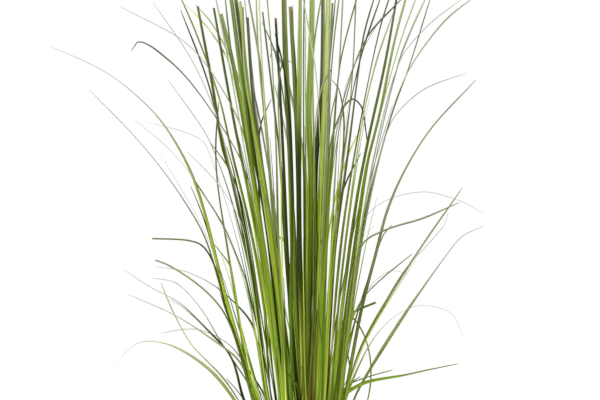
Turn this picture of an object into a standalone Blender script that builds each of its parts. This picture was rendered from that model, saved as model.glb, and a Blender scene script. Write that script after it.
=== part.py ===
"""A clump of narrow-leaved ornamental grass growing in the soil of a plain clay pot.

The origin is the centre of the pot's underside. +Z is up, +X is the viewer's right and +Y leads away
from the viewer. Sizes here are in millimetres, and become metres where the meshes are made.
"""
import math
import random
from collections import namedtuple

import bmesh
import bpy
from mathutils import Matrix, Vector
from mathutils.bvhtree import BVHTree

MM = 0.001
GAP = 0.3

POT_HEIGHT = 190.0
BASE_RADIUS = 78.0
NECK_RADIUS = 103.0
RIM_RADIUS = 112.0
RIM_HEIGHT = 34.0
RIM_TAPER = 1.5
WALL = 8.0
FLOOR = 12.0
EDGE_ROUND = 2.5
POT_SIDES = 48
DRAIN_HOLES = 4
DRAIN_RADIUS = 6.0
DRAIN_CIRCLE = 38.0
DRAIN_SIDES = 12
CUTTER_EXCESS = 4.0

SOIL_LEVEL = 165.0
SOIL_EDGE_DROP = 4.0
SOIL_CROWN = 4.0
SOIL_CROWN_RADIUS = 58.0
SOIL_SHOULDER = 4.0

CLUMP_RADIUS = 52.0
FOOT_DEPTH = 24.0
FOOT_TOP = 9.0
FORK_HEIGHT = 62.0
FIRST_READING = 120.0
SHEATH_HALF_WIDTH = 3.0
SHEATH_HALF_DEPTH = 2.1

# The widths that the leaves really have, against what is seen of them from the front.
THINNEST_LEAF = 4.2
WIDEST_LEAF = 9.4
FOLD_ALLOWANCE = 1.12
EDGE_ALLOWANCE = 0.8
KEEL_DEPTH = 0.32
TIP_WIDTH = 1.0
TIP_DEPTH = 0.8
WIDEST_AT = 0.3
FOOT_WIDTH = 0.78
CUT_NARROWING = 0.12
POINT_POWER = 0.8

# The rings that make a leaf, with more of them where it bends.
FEWEST_RINGS = 6
MOST_RINGS = 12
TURN_PER_RING = math.radians(17)
BEND_WEIGHT = 1.1
LEAST_TURN = 0.6
ROUTE_STEPS = 96
KNOT_POWER = 0.75
TURN_ENDS = 0.4
MOST_TWIST = 0.6

# How far the leaves spread towards and away from the viewer.
TALLEST = 700.0
DEPTH_SWAY = 240.0
OUTER_SWAY = 70.0
TURNED_SWAY = 68.0
SWAY_POWER = 1.2
PAIR_SPREAD = 60.0
FOOT_SPREAD = 0.74
SIDE_WEIGHT = 0.2
CLEARANCE = 1.0
TRIES_PER_FOOT = 40
SPARE_FEET = 12
SEED = 41

# The eye that the routes were read from: level, and this far from the clump's axis.
VIEW_DISTANCE = 5000.0
VIEW_ACROSS = -9.0
VIEW_HEIGHT = 420.0

POINTED = "pointed"
CUT = "cut"

# A leaf is the width that is seen from the front, its tip, and its route. The route's points are
# (distance from the clump's axis, height above the soil), from near the foot to the tip.
Leaf = namedtuple("Leaf", "seen tip route")
Shoot = namedtuple("Shoot", "first second")

LEFT = (
    Shoot(Leaf(5.2, POINTED, ((-108, 120), (-146, 166), (-203, 202), (-250, 206), (-284, 177))),
          Leaf(3.2, POINTED, ((-102, 120), (-129, 159), (-171, 202), (-201, 255), (-218, 296)))),
    Shoot(Leaf(3.2, POINTED, ((-93, 120), (-112, 184), (-150, 228), (-190, 266), (-234, 290), (-274, 316))),
          Leaf(2.2, POINTED, ((-80, 120), (-99, 177), (-152, 219), (-202, 250), (-266, 278)))),
    Shoot(Leaf(5.6, POINTED, ((-75, 120), (-100, 201), (-126, 294), (-147, 381), (-174, 464), (-219, 540),
                              (-279, 597), (-339, 632), (-384, 651))),
          Leaf(3.6, POINTED, ((-78, 120), (-93, 180), (-120, 255), (-141, 334), (-164, 388), (-219, 470),
                              (-278, 538), (-326, 586)))),
    Shoot(Leaf(3.4, CUT, ((-80, 120), (-99, 195), (-121, 258), (-136, 318), (-162, 355), (-231, 362))),
          Leaf(3.4, CUT, ((-80, 120), (-105, 210), (-126, 256), (-159, 291), (-204, 321), (-226, 330)))),
    Shoot(Leaf(2.2, POINTED, ((-79, 120), (-90, 150), (-123, 199), (-157, 256), (-194, 295), (-231, 303))),
          Leaf(2.2, POINTED, ((-58, 120), (-72, 202), (-85, 241), (-130, 286), (-178, 312), (-225, 320)))),
    Shoot(Leaf(2.4, POINTED, ((-60, 120), (-84, 162), (-117, 204), (-165, 226), (-219, 220))),
          Leaf(3.4, POINTED, ((-92, 118), (-104, 135), (-119, 152)))),
    Shoot(Leaf(3.6, POINTED, ((-73, 120), (-90, 177), (-100, 240), (-111, 312), (-124, 385), (-133, 451),
                              (-135, 510), (-131, 567))),
          Leaf(2.2, POINTED, ((-70, 120), (-92, 200), (-104, 270), (-114, 320), (-129, 342), (-139, 355)))),
    Shoot(Leaf(3.2, POINTED, ((-58, 120), (-72, 195), (-88, 292), (-102, 330), (-124, 382), (-170, 453))),
          Leaf(2.2, POINTED, ((-66, 120), (-92, 200), (-126, 308), (-159, 387), (-189, 438), (-218, 488)))),
    Shoot(Leaf(3.8, POINTED, ((-60, 120), (-82, 300), (-110, 412), (-129, 470), (-154, 525), (-207, 600))),
          Leaf(5.0, POINTED, ((-40, 120), (-63, 300), (-88, 453), (-134, 542), (-189, 615), (-234, 652),
                              (-253, 657), (-262, 644)))),
    Shoot(Leaf(2.6, POINTED, ((-52, 120), (-81, 322), (-114, 465), (-135, 548), (-174, 634), (-231, 718))),
          Leaf(2.4, POINTED, ((-46, 120), (-66, 360), (-87, 495), (-118, 573), (-178, 654), (-279, 710)))),
    Shoot(Leaf(4.2, POINTED, ((-44, 120), (-75, 338), (-106, 468), (-130, 573), (-172, 690), (-194, 738))),
          Leaf(3.0, POINTED, ((-55, 120), (-90, 352), (-123, 495), (-144, 586), (-174, 670), (-188, 705)))),
    Shoot(Leaf(6.2, CUT, ((-57, 120), (-81, 300), (-112, 453), (-128, 510), (-147, 630), (-163, 711))),
          Leaf(4.8, CUT, ((-39, 120), (-60, 300), (-90, 450), (-108, 540), (-126, 640), (-138, 708)))),
    Shoot(Leaf(2.4, POINTED, ((-57, 120), (-84, 315), (-99, 390), (-135, 448), (-178, 492))),
          Leaf(2.2, POINTED, ((-60, 120), (-76, 225), (-102, 327), (-152, 428), (-204, 495), (-258, 541)))),
    Shoot(Leaf(2.2, POINTED, ((-50, 120), (-96, 330), (-118, 410), (-138, 470), (-160, 512), (-243, 538))),
          Leaf(2.6, POINTED, ((-46, 120), (-74, 290), (-88, 380), (-104, 440), (-122, 477), (-144, 506)))),
)

CORE = (
    Shoot(Leaf(5.2, CUT, ((-38, 120), (-57, 300), (-82, 465), (-99, 570), (-118, 662), (-128, 699))),
          Leaf(5.4, CUT, ((-34, 120), (-54, 285), (-82, 480), (-102, 645), (-115, 745)))),
    Shoot(Leaf(6.4, CUT, ((-32, 120), (-56, 360), (-84, 525), (-94, 630), (-110, 752))),
          Leaf(4.2, CUT, ((-28, 120), (-46, 300), (-68, 458), (-88, 600), (-99, 718)))),
    Shoot(Leaf(3.8, CUT, ((-27, 120), (-44, 300), (-66, 465), (-90, 600), (-96, 710))),
          Leaf(3.8, CUT, ((-24, 120), (-40, 285), (-60, 435), (-78, 555), (-88, 694)))),
    Shoot(Leaf(2.6, POINTED, ((-22, 120), (-39, 270), (-66, 480), (-81, 622), (-95, 748))),
          Leaf(4.4, POINTED, ((-52, 120), (-64, 300), (-70, 420), (-72, 495), (-66, 540), (-52, 571)))),
    Shoot(Leaf(5.2, CUT, ((-21, 120), (-42, 300), (-56, 480), (-69, 622), (-89, 738))),
          Leaf(4.4, POINTED, ((-20, 120), (-38, 270), (-57, 495), (-68, 660), (-72, 765)))),
    Shoot(Leaf(4.2, CUT, ((-15, 120), (-27, 300), (-38, 480), (-54, 608), (-65, 702))),
          Leaf(4.2, POINTED, ((-18, 120), (-39, 300), (-45, 495), (-53, 660), (-62, 758)))),
    Shoot(Leaf(4.8, CUT, ((-12, 120), (-26, 300), (-34, 472), (-42, 630), (-46, 693))),
          Leaf(2.4, POINTED, ((-10, 120), (-21, 285), (-27, 510), (-45, 634), (-66, 687)))),
    Shoot(Leaf(7.4, CUT, ((-9, 120), (-18, 270), (-24, 480), (-32, 660), (-34, 752))),
          Leaf(4.2, CUT, ((-6, 120), (-10, 300), (-12, 450), (-18, 615), (-24, 710)))),
    Shoot(Leaf(6.2, CUT, ((-2, 120), (-8, 300), (-10, 480), (-9, 600), (-8, 744))),
          Leaf(2.4, POINTED, ((-3, 120), (-8, 300), (-12, 450), (-19, 640), (-20, 712)))),
    Shoot(Leaf(4.2, POINTED, ((2, 120), (-2, 300), (-3, 420), (-4, 630), (-2, 753))),
          Leaf(8.8, CUT, ((4, 120), (6, 300), (8, 435), (4, 560), (9, 680), (10, 758)))),
    Shoot(Leaf(4.2, POINTED, ((9, 120), (12, 300), (12, 480), (11, 638), (26, 744))),
          Leaf(2.2, POINTED, ((10, 120), (18, 285), (22, 450), (16, 600), (-4, 722)))),
    Shoot(Leaf(6.2, CUT, ((12, 120), (14, 300), (15, 480), (24, 585), (26, 740))),
          Leaf(8.2, CUT, ((15, 120), (16, 270), (22, 450), (28, 585), (34, 749)))),
    Shoot(Leaf(4.8, CUT, ((18, 120), (24, 330), (32, 510), (36, 652), (40, 716))),
          Leaf(4.2, POINTED, ((21, 120), (24, 285), (33, 495), (39, 630), (53, 752)))),
    Shoot(Leaf(3.2, POINTED, ((22, 120), (26, 270), (36, 532), (48, 600), (57, 765))),
          Leaf(4.6, POINTED, ((24, 120), (27, 300), (42, 525), (52, 627), (76, 720), (84, 750)))),
    Shoot(Leaf(4.4, POINTED, ((26, 120), (28, 300), (36, 495), (44, 528), (56, 558), (69, 571),
                              (80, 564), (87, 546), (93, 498))),
          Leaf(3.0, POINTED, ((28, 120), (36, 270), (50, 420), (56, 500), (56, 550), (49, 586), (39, 600)))),
    Shoot(Leaf(4.4, POINTED, ((27, 120), (38, 345), (52, 453), (66, 562), (74, 690), (76, 760))),
          Leaf(4.2, POINTED, ((30, 120), (42, 330), (58, 453), (72, 555), (86, 663), (108, 742)))),
    Shoot(Leaf(2.4, POINTED, ((28, 120), (33, 240), (45, 480), (58, 582), (76, 630), (116, 699))),
          Leaf(4.8, POINTED, ((33, 120), (50, 330), (68, 458), (88, 570), (112, 682), (134, 750)))),
    Shoot(Leaf(3.4, POINTED, ((36, 120), (54, 315), (82, 525), (106, 630), (130, 699))),
          Leaf(5.8, CUT, ((39, 120), (58, 285), (82, 453), (106, 562), (128, 672), (140, 746)))),
    Shoot(Leaf(5.6, CUT, ((42, 120), (63, 278), (88, 458), (112, 558), (135, 670), (155, 742))),
          Leaf(5.0, POINTED, ((45, 120), (68, 300), (94, 480), (118, 573), (147, 675), (172, 742)))),
    Shoot(Leaf(4.8, POINTED, ((46, 120), (66, 270), (96, 428), (130, 552), (162, 640), (188, 726))),
          Leaf(2.6, POINTED, ((48, 120), (69, 285), (104, 480), (138, 622), (168, 698), (184, 732)))),
    Shoot(Leaf(3.2, POINTED, ((-16, 120), (-39, 285), (-54, 450), (-72, 645), (-76, 748))),
          Leaf(2.4, POINTED, ((-30, 120), (-36, 300), (-38, 480), (-42, 590), (-33, 630), (-20, 626)))),
    Shoot(Leaf(2.6, POINTED, ((-36, 120), (-66, 345), (-87, 465), (-117, 630), (-138, 735))),
          Leaf(2.4, POINTED, ((-33, 120), (-54, 300), (-75, 435), (-108, 615), (-123, 740)))),
)

RIGHT = (
    Shoot(Leaf(2.6, POINTED, ((51, 120), (78, 345), (106, 502), (141, 628), (186, 684), (236, 723))),
          Leaf(3.6, POINTED, ((51, 120), (81, 345), (111, 488), (150, 606), (206, 686), (250, 723)))),
    Shoot(Leaf(2.6, POINTED, ((53, 120), (82, 345), (110, 480), (132, 543), (178, 586), (240, 610))),
          Leaf(4.8, POINTED, ((58, 120), (82, 252), (102, 330), (122, 405), (153, 474), (195, 537),
                              (254, 600)))),
    Shoot(Leaf(4.6, POINTED, ((60, 120), (76, 183), (105, 243), (158, 327), (206, 399), (234, 438))),
          Leaf(5.2, POINTED, ((72, 120), (93, 160), (141, 237), (188, 306), (232, 363), (267, 381)))),
    Shoot(Leaf(2.2, POINTED, ((45, 120), (63, 285), (84, 384), (118, 418), (178, 432), (237, 416),
                              (267, 399))),
          Leaf(3.6, POINTED, ((50, 120), (66, 285), (84, 352), (117, 374), (178, 393), (230, 416)))),
    Shoot(Leaf(3.8, POINTED, ((48, 120), (62, 218), (82, 268), (111, 300), (141, 324), (159, 339))),
          Leaf(2.2, POINTED, ((50, 120), (66, 202), (84, 270), (105, 300), (129, 314), (154, 309)))),
    Shoot(Leaf(3.6, POINTED, ((60, 120), (78, 168), (104, 216), (138, 249), (176, 262), (219, 249),
                              (236, 214))),
          Leaf(4.4, POINTED, ((51, 120), (66, 134), (92, 147), (141, 156), (178, 164), (228, 174)))),
    Shoot(Leaf(3.6, POINTED, ((36, 120), (52, 218), (66, 244), (84, 224), (96, 183), (96, 140), (88, 100))),
          Leaf(4.2, CUT, ((38, 120), (50, 225), (70, 250), (105, 266)))),
    Shoot(Leaf(3.4, POINTED, ((58, 120), (66, 155), (63, 188), (56, 206))),
          Leaf(2.6, POINTED, ((51, 120), (69, 285), (93, 435), (114, 510), (130, 562)))),
    Shoot(Leaf(2.2, POINTED, ((56, 120), (96, 225), (148, 315), (189, 360), (208, 384), (213, 402))),
          Leaf(2.2, POINTED, ((48, 120), (63, 142), (90, 154), (130, 165)))),
)

# The sides that the viewer doesn't see are filled by like shoots, turned round the clump's axis:
# the shoot that is repeated, and the direction that its leaves lean in, in degrees from +X.
FRONT = (
    (LEFT[2], -102),
    (LEFT[9], -58),
    (LEFT[7], -126),
    (RIGHT[5], -98),
    (RIGHT[1], -74),
    (RIGHT[3], -96),
)
BACK = (
    (LEFT[8], 116),
    (LEFT[10], 82),
    (LEFT[3], 100),
    (LEFT[12], 58),
    (RIGHT[0], 132),
    (RIGHT[2], 72),
    (LEFT[0], 88),
)


def material(name, color, roughness):
    made = bpy.data.materials.new(name)
    made.use_nodes = True
    shader = made.node_tree.nodes["Principled BSDF"]
    shader.inputs["Base Color"].default_value = (*color, 1.0)
    shader.inputs["Roughness"].default_value = roughness
    return made


def new_object(name, mesh, collection, finish=None):
    made = bpy.data.objects.new(name, mesh)
    collection.objects.link(made)
    if finish:
        mesh.materials.append(finish)
    return made


def turned(name, profile, collection, finish):
    """Turns a profile of (radius, height) points round the Z axis."""
    mesh = bpy.data.meshes.new(name)
    points = [(radius * MM, 0.0, height * MM) for radius, height in profile]
    mesh.from_pydata(points, [(i, i + 1) for i in range(len(points) - 1)], [])
    made = new_object(name, mesh, collection, finish)
    screw = made.modifiers.new("turn", "SCREW")
    screw.axis = "Z"
    screw.steps = screw.render_steps = POT_SIDES
    screw.use_merge_vertices = True
    screw.merge_threshold = 0.00005
    screw.use_normal_calculate = False
    return made


def inner_radius(height):
    """The pot's inner wall: a straight taper from the floor to the rim."""
    low = BASE_RADIUS - WALL
    high = RIM_RADIUS - WALL
    return low + (high - low) * (height - FLOOR) / (POT_HEIGHT - FLOOR)


def make_pot(collection, cutters, finish):
    low_rim = POT_HEIGHT - RIM_HEIGHT
    profile = [
        (0.0, FLOOR),
        (inner_radius(FLOOR), FLOOR),
        (inner_radius(POT_HEIGHT - EDGE_ROUND), POT_HEIGHT - EDGE_ROUND),
        (inner_radius(POT_HEIGHT) + EDGE_ROUND, POT_HEIGHT),
        (RIM_RADIUS - EDGE_ROUND, POT_HEIGHT),
        (RIM_RADIUS, POT_HEIGHT - EDGE_ROUND),
        (RIM_RADIUS - RIM_TAPER, low_rim + EDGE_ROUND),
        (RIM_RADIUS - RIM_TAPER - EDGE_ROUND, low_rim),
        (NECK_RADIUS, low_rim),
        (BASE_RADIUS, EDGE_ROUND),
        (BASE_RADIUS - EDGE_ROUND, 0.0),
        (0.0, 0.0),
    ]
    pot = turned("pot", profile, collection, finish)
    bm = bmesh.new()
    for number in range(DRAIN_HOLES):
        angle = math.tau * (number + 0.5) / DRAIN_HOLES
        place = Vector((DRAIN_CIRCLE * math.cos(angle), DRAIN_CIRCLE * math.sin(angle), FLOOR / 2)) * MM
        bmesh.ops.create_cone(bm, cap_ends=True, segments=DRAIN_SIDES, radius1=DRAIN_RADIUS * MM,
                              radius2=DRAIN_RADIUS * MM, depth=(FLOOR + 2 * CUTTER_EXCESS) * MM,
                              matrix=Matrix.Translation(place))
    cut_from(pot, "drain_cutter", bm, cutters)
    return pot


def cut_from(target, name, bm, cutters):
    """Makes a hidden cutter from a bmesh, and cuts it out of the target."""
    mesh = bpy.data.meshes.new(name)
    bm.to_mesh(mesh)
    bm.free()
    cutter = new_object(name, mesh, cutters)
    cutter.hide_render = True
    cutter.display_type = "WIRE"
    cut = target.modifiers.new(name, "BOOLEAN")
    cut.operation = "DIFFERENCE"
    cut.object = cutter
    cut.solver = "EXACT"


def make_soil(collection, cutters, finish, feet):
    """The soil fills the pot to a low crown, with a socket round each shoot's foot."""
    low = FLOOR + GAP
    edge = SOIL_LEVEL - SOIL_EDGE_DROP
    profile = [
        (0.0, SOIL_LEVEL + SOIL_CROWN),
        (SOIL_CROWN_RADIUS, SOIL_LEVEL + SOIL_CROWN / 2),
        (inner_radius(edge) - GAP - SOIL_SHOULDER, edge + SOIL_SHOULDER / 4),
        (inner_radius(edge) - GAP, edge),
        (inner_radius(low) - GAP, low),
        (0.0, low),
    ]
    soil = turned("soil", profile, collection, finish)
    bm = bmesh.new()
    stretch = 1.0 + GAP * math.hypot(1.0 / SHEATH_HALF_WIDTH, 1.0 / SHEATH_HALF_DEPTH)
    for foot, across, along in feet:
        wide = across * SHEATH_HALF_WIDTH * stretch
        deep = along * SHEATH_HALF_DEPTH * stretch
        rings = []
        for height in (-FOOT_DEPTH - GAP, FOOT_TOP + CUTTER_EXCESS):
            centre = Vector((foot.x, foot.y, SOIL_LEVEL + height))
            corners = (centre - wide, centre + deep, centre + wide, centre - deep)
            rings.append([bm.verts.new(corner * MM) for corner in corners])
        bm.faces.new(rings[0])
        bm.faces.new(reversed(rings[1]))
        for i in range(4):
            bm.faces.new((rings[0][i], rings[1][i], rings[1][i - 3], rings[0][i - 3]))
    bmesh.ops.recalc_face_normals(bm, faces=bm.faces)
    cut_from(soil, "socket_cutter", bm, cutters)
    return soil


def through(points, amount, knots):
    """A smooth curve through the points: a Catmull-Rom spline on uneven knots."""
    last = len(points) - 1
    i = max(0, min(last - 1, sum(1 for knot in knots[1:-1] if knot <= amount)))
    start, end = points[i], points[i + 1]
    span = knots[i + 1] - knots[i]
    before = points[i - 1] if i > 0 else start * 2 - end
    knot_before = knots[i - 1] if i > 0 else knots[i] - span
    after = points[i + 2] if i + 2 <= last else end * 2 - start
    knot_after = knots[i + 2] if i + 2 <= last else knots[i + 1] + span
    leave = (end - before) / (knots[i + 1] - knot_before) * span
    arrive = (after - start) / (knot_after - knots[i]) * span
    t = (amount - knots[i]) / span
    return (start * (2 * t ** 3 - 3 * t ** 2 + 1) + leave * (t ** 3 - 2 * t ** 2 + t)
            + end * (3 * t ** 2 - 2 * t ** 3) + arrive * (t ** 3 - t ** 2))


def knots_of(points):
    knots = [0.0]
    for a, b in zip(points, points[1:]):
        knots.append(knots[-1] + (b - a).length ** KNOT_POWER)
    return knots


def leaf_path(points):
    """Samples the route closely, then picks the rings: more of them where the leaf bends."""
    knots = knots_of(points)
    span = knots[-1] - knots[1]
    fine = [through(points, knots[1] + span * i / ROUTE_STEPS, knots) for i in range(ROUTE_STEPS + 1)]
    lengths = [0.0]
    turns = [0.0]
    for i in range(1, len(fine)):
        lengths.append(lengths[-1] + (fine[i] - fine[i - 1]).length)
        bend = 0.0
        if i + 1 < len(fine):
            bend = (fine[i] - fine[i - 1]).angle(fine[i + 1] - fine[i], 0.0)
        turns.append(turns[-1] + bend)
    count = max(FEWEST_RINGS, min(MOST_RINGS, round(FEWEST_RINGS - 1 + turns[-1] / TURN_PER_RING)))
    bendiness = BEND_WEIGHT / max(turns[-1], LEAST_TURN)
    weights = [length / lengths[-1] + bendiness * turn for length, turn in zip(lengths, turns)]
    rings = []
    for n in range(count + 1):
        wanted = weights[-1] * n / count
        i = min(len(fine) - 1, 1 + sum(1 for weight in weights[1:] if weight < wanted))
        part = min(1.0, (wanted - weights[i - 1]) / (weights[i] - weights[i - 1]))
        place = fine[i - 1].lerp(fine[i], part)
        along = (lengths[i - 1] + (lengths[i] - lengths[i - 1]) * part) / lengths[-1]
        rings.append((place, (fine[i] - fine[i - 1]).normalized(), along))
    return rings


def leaf_width(seen):
    return max(THINNEST_LEAF, min(WIDEST_LEAF, FOLD_ALLOWANCE * seen + EDGE_ALLOWANCE))


def width_at(leaf, along):
    """The share of the full width: a grass leaf is widest at a third, then narrows to its tip."""
    rise = FOOT_WIDTH + (1.0 - FOOT_WIDTH) * math.sin(math.pi / 2 * min(1.0, along / WIDEST_AT))
    if leaf.tip == CUT:
        return rise * (1.0 - CUT_NARROWING * along)
    return rise * min(1.0, (1.0 - along) / (1.0 - WIDEST_AT)) ** POINT_POWER


def smooth(value):
    value = max(0.0, min(1.0, value))
    return value * value * (3.0 - 2.0 * value)


def leaf_rings(leaf, points, fork_across, sway, angle, twist, swell):
    """The rings of one leaf above its fork: left edge, keel, right edge.

    Halfway up, the leaf's width stands at the given angle to the plane that its route lies in.
    """
    path = leaf_path(points)
    width = leaf_width(leaf.seen)
    frames = []
    across = fork_across
    for place, tangent, along in path:
        across = (across - tangent * across.dot(tangent)).normalized()
        frames.append((place, tangent, along, across))
    _, tangent, _, across = frames[len(frames) // 2]
    flat = sway.cross(tangent).normalized()
    wanted = flat * math.cos(angle) + tangent.cross(flat) * math.sin(angle)
    turn = math.atan2(across.cross(wanted).dot(tangent), across.dot(wanted))
    if turn > math.pi / 2:
        turn -= math.pi
    if turn < -math.pi / 2:
        turn += math.pi
    rings = []
    for place, tangent, along, across in frames[1:]:
        angle = turn * smooth(along / TURN_ENDS) + twist * along
        across = Matrix.Rotation(angle, 3, tangent) @ across
        keel = tangent.cross(across)
        share = width_at(leaf, along)
        half = max(TIP_WIDTH, width * share) / 2 + swell
        depth = max(TIP_DEPTH, width * share * KEEL_DEPTH) + swell
        middle = place - keel * (depth + swell) / 3
        rings.append((middle - across * half, middle + keel * depth, middle + across * half))
    return rings


def stance(routes):
    """The level directions of a sheath's width and depth: its two leaves part along the depth."""
    along = routes[0][1] - routes[1][1]
    along.z = 0.0
    along = along.normalized() if along.length > GAP else Vector((0.0, 1.0, 0.0))
    return along.cross(Vector((0.0, 0.0, 1.0))), along


def shoot_mesh(shoot, foot, plan, swell=0.0):
    """One shoot as a closed bmesh: a sheath that stands in the soil and parts into two leaves."""
    routes, sway, angles, twists = plan
    mean = (routes[0][0] + routes[1][0]) / 2
    base = Vector((foot.x, foot.y, SOIL_LEVEL + FOOT_TOP))
    fork = base.lerp(mean, FORK_HEIGHT / FIRST_READING)
    tangent = (mean - base).normalized()
    across, along = stance(routes)
    bm = bmesh.new()

    def ring_of(centre, side, front):
        wide = side * (SHEATH_HALF_WIDTH + swell)
        deep = front * (SHEATH_HALF_DEPTH + swell)
        corners = (centre - wide, centre + deep, centre + wide, centre - deep)
        return [bm.verts.new(corner * MM) for corner in corners]

    side = (across - tangent * across.dot(tangent)).normalized()
    sheath = [
        ring_of(Vector((foot.x, foot.y, SOIL_LEVEL - FOOT_DEPTH)), across, along),
        ring_of(base, across, along),
        ring_of(fork, side, tangent.cross(side)),
    ]
    bm.faces.new(reversed(sheath[0]))
    for low, high in zip(sheath, sheath[1:]):
        for i in range(4):
            bm.faces.new((low[i], low[i - 3], high[i - 3], high[i]))
    left, front, right, back = sheath[-1]
    for leaf, route, angle, twist, ring, turned_side in (
            (shoot.first, routes[0], angles[0], twists[0], (left, front, right), side),
            (shoot.second, routes[1], angles[1], twists[1], (right, back, left), -side)):
        points = [base, fork] + route
        for corners in leaf_rings(leaf, points, turned_side, sway, angle, twist, swell):
            upper = [bm.verts.new(corner * MM) for corner in corners]
            for i in range(3):
                bm.faces.new((ring[i], ring[i - 2], upper[i - 2], upper[i]))
            ring = upper
        bm.faces.new(ring)
    bmesh.ops.triangulate(bm, faces=bm.faces)
    bmesh.ops.recalc_face_normals(bm, faces=bm.faces)
    return bm


def leaves_meet(bm, shoot_tree):
    """True where the two leaves of a shoot run into each other above their fork."""
    for one, other in shoot_tree.overlap(shoot_tree):
        if set(bm.faces[one].verts).isdisjoint(bm.faces[other].verts):
            return True
    return False


def seen_from_front(out, height, depth):
    """Moves a point that was read from the front to its depth, on the line to the viewer's eye."""
    grow = 1.0 + depth / VIEW_DISTANCE
    return VIEW_ACROSS + (out - VIEW_ACROSS) * grow, VIEW_HEIGHT + (height - VIEW_HEIGHT) * grow


def directions(lean):
    """The level directions in which a leaf's route reaches out, and across it, in which it sways."""
    reach = Vector((math.cos(lean), math.sin(lean), 0.0))
    return reach, Vector((-reach.y, reach.x, 0.0))


def route_in_space(leaf, foot, lean, tip_depth):
    """Places a leaf's route: its own plane is turned to its lean, and it sways sideways in depth."""
    reach, sway = directions(lean)
    start = foot.dot(sway)
    lengths = [FIRST_READING]
    for (x0, h0), (x1, h1) in zip(leaf.route, leaf.route[1:]):
        lengths.append(lengths[-1] + math.hypot(x1 - x0, h1 - h0))
    points = []
    for (out, height), length in zip(leaf.route, lengths):
        depth = start + (tip_depth - start) * (length / lengths[-1]) ** SWAY_POWER
        if not lean:
            out, height = seen_from_front(out, height, depth)
        points.append(reach * out + sway * depth + Vector((0.0, 0.0, SOIL_LEVEL + height)))
    return points


def blade_angle(leaf, foot, tip_depth):
    """The angle of the leaf's width to its route's plane, so that the width that was read is seen."""
    angle = math.acos(min(1.0, leaf.seen / leaf_width(leaf.seen)))
    outward = leaf.route[-1][0] * (tip_depth - foot.y)
    return -math.copysign(angle, outward)


def feet_places(count):
    """Evenly spread places in a disc, as seeds sit in a flower head."""
    golden = math.pi * (3.0 - math.sqrt(5.0))
    places = []
    for i in range(count):
        radius = CLUMP_RADIUS * math.sqrt((i + 0.5) / count)
        places.append(Vector((radius * math.cos(i * golden), radius * math.sin(i * golden), 0.0)))
    return places


def bvh(bm):
    return BVHTree.FromBMesh(bm, epsilon=0.0)


def depth_room(shoot, lean):
    """How far a shoot may sway sideways: a short one less, and one that already leans far less."""
    if lean:
        return TURNED_SWAY
    outer = min(abs(leaf.route[-1][0]) for leaf in shoot)
    height = max(high for leaf in shoot for _, high in leaf.route)
    room = math.sqrt(max(OUTER_SWAY ** 2, DEPTH_SWAY ** 2 - outer ** 2))
    return room * min(1.0, height / TALLEST)


def plans_for(shoot, foot, lean, rng):
    """Yields ways to place a shoot's two leaves in depth, near the foot that it stands on."""
    room = depth_room(shoot, lean)
    for _ in range(TRIES_PER_FOOT):
        depth = rng.uniform(-room, room)
        apart = rng.uniform(-PAIR_SPREAD, PAIR_SPREAD)
        depths = (depth + apart / 2, depth - apart / 2)
        twists = (rng.uniform(-MOST_TWIST, MOST_TWIST), rng.uniform(-MOST_TWIST, MOST_TWIST))
        routes = [route_in_space(leaf, foot, lean, tip) for leaf, tip in zip(shoot, depths)]
        angles = [blade_angle(leaf, foot, tip) for leaf, tip in zip(shoot, depths)]
        yield routes, directions(lean)[1], angles, twists


def is_clear(shoot, foot, plan, trees):
    """True where the shoot, swollen by the clearance, meets neither the others nor itself."""
    swollen = shoot_mesh(shoot, foot, plan, CLEARANCE)
    tree = bvh(swollen)
    clear = not any(tree.overlap(other) for other in trees) and not leaves_meet(swollen, tree)
    swollen.free()
    return clear


def first_clear(name, shoot, lean, feet, trees, rng):
    for foot in feet:
        for plan in plans_for(shoot, foot, lean, rng):
            if is_clear(shoot, foot, plan, trees):
                return foot, plan
    raise RuntimeError("no clear place for " + name)


def place_shoots(wanted):
    """Finds each shoot a foot and a depth in which it clears all the shoots before it."""
    rng = random.Random(SEED)
    free = feet_places(len(wanted) + SPARE_FEET)
    trees = []
    placed = {}
    for name, shoot, lean in sorted(wanted, key=lambda row: -abs(row[1].first.route[0][0])):
        reach, _ = directions(lean)
        out = sum(leaf.route[0][0] for leaf in shoot) / 2 * FOOT_SPREAD
        target = reach * max(-CLUMP_RADIUS, min(CLUMP_RADIUS, out))
        free.sort(key=lambda place: abs((place - target).dot(reach)) + SIDE_WEIGHT * (place - target).length)
        foot, plan = first_clear(name, shoot, lean, free, trees, rng)
        free.remove(foot)
        bm = shoot_mesh(shoot, foot, plan)
        trees.append(bvh(bm))
        placed[name] = (bm, foot, *stance(plan[0]))
    return placed


def shoots_wanted():
    rows = []
    for label, shoots in (("left", LEFT), ("core", CORE), ("right", RIGHT)):
        for number, shoot in enumerate(shoots, 1):
            rows.append((f"{label}_shoot_{number:02d}", shoot, 0.0))
    for label, turned_shoots in (("front", FRONT), ("back", BACK)):
        for number, (shoot, degrees) in enumerate(turned_shoots, 1):
            outward = Shoot(*(Leaf(leaf.seen, leaf.tip, tuple((abs(out), high) for out, high in leaf.route))
                              for leaf in shoot))
            rows.append((f"{label}_shoot_{number:02d}", outward, math.radians(degrees)))
    return rows


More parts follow.
